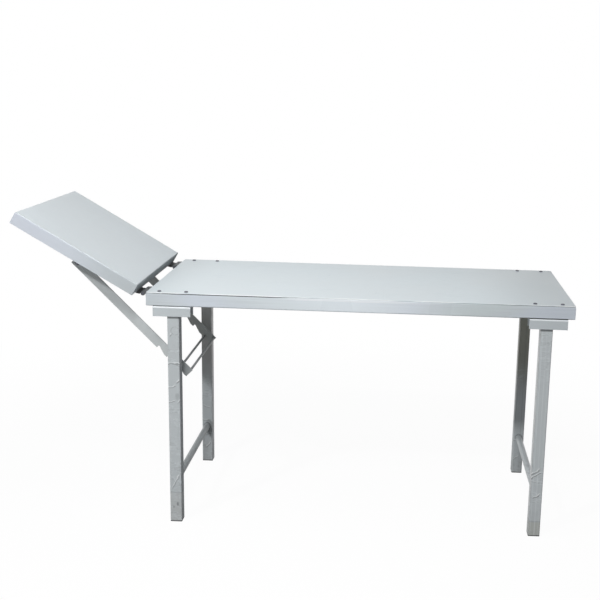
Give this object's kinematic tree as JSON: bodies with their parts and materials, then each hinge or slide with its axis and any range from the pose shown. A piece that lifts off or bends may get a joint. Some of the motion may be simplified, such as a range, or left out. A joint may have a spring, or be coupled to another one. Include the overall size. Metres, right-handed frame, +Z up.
{
  "type": "examination table",
  "caption": "Steel examination table with a flat top on square legs and a hinged head section held up by a notched strut that hooks over a rod.",
  "frame": {"origin": "on the floor, under the middle of the whole table's box as it stands at rest, with the head section raised 30 degrees", "axes": "+X along the table to the foot end, +Y across it to the far side, +Z up"},
  "size_m": [1.7624, 0.564, 1.0101],
  "materials": {
    "painted_steel": "semi-gloss powder coat, scuffed",
    "strut_steel": "worn powder coat",
    "plated_steel": "zinc plated, dulled",
    "foot_plastic": "moulded"
  },
  "bodies": {
    "table": {"main_top_sheet": "painted_steel", "main_rail_near": "painted_steel", "main_rail_far": "painted_steel", "main_rail_head_end": "painted_steel", "main_rail_foot_end": "painted_steel", "main_cross_member_1": "painted_steel", "main_cross_member_2": "painted_steel", "main_cross_member_3": "painted_steel", "leg_head_near": "painted_steel", "leg_head_far": "painted_steel", "leg_foot_near": "painted_steel", "leg_foot_far": "painted_steel", "leg_bracket_head_near": "painted_steel", "leg_bracket_head_far": "painted_steel", "leg_bracket_foot_near": "painted_steel", "leg_bracket_foot_far": "painted_steel", "cross_tube_head": "painted_steel", "cross_tube_foot": "painted_steel", "ratchet_rod": "strut_steel", "foot_plug_head_near": "foot_plastic", "foot_plug_head_far": "foot_plastic", "foot_plug_foot_near": "foot_plastic", "foot_plug_foot_far": "foot_plastic", "leg_bolts": "plated_steel", "leg_washers": "plated_steel", "leg_nuts": "plated_steel", "hinge_leaf_main_near": "painted_steel", "hinge_leaf_main_far": "painted_steel", "hinge_pin_near": "plated_steel", "hinge_pin_far": "plated_steel"},
    "head": {"head_top_sheet": "painted_steel", "head_rail_near": "painted_steel", "head_rail_far": "painted_steel", "head_rail_outer_end": "painted_steel", "head_rail_hinge_end": "painted_steel", "head_cross_member": "painted_steel", "strut_lug_near": "painted_steel", "strut_lug_far": "painted_steel", "hinge_leaf_head_near": "painted_steel", "hinge_leaf_head_far": "painted_steel", "pivot_bolts": "plated_steel", "pivot_washers": "plated_steel", "pivot_nuts": "plated_steel"},
    "strut": {"strut_bar_near": "strut_steel", "strut_bar_far": "strut_steel", "strut_handle_rod": "strut_steel"}
  },
  "joints": [
    {"name": "head_tilt", "type": "hinge", "parent": "table", "child": "head", "pos_m": [-0.48176, 0, 0.754], "axis": [0, 1, 0], "range_deg": [-30, 0]},
    {"name": "strut_swing", "type": "hinge", "parent": "head", "child": "strut", "pos_m": [-0.69645, 0, 0.84215], "axis": [0, 1, 0], "range_deg": [0, 10.5]}
  ],
  "couplings": [
    {"joint": "strut_swing", "follows": "head_tilt", "ratio": -0.35}
  ]
}
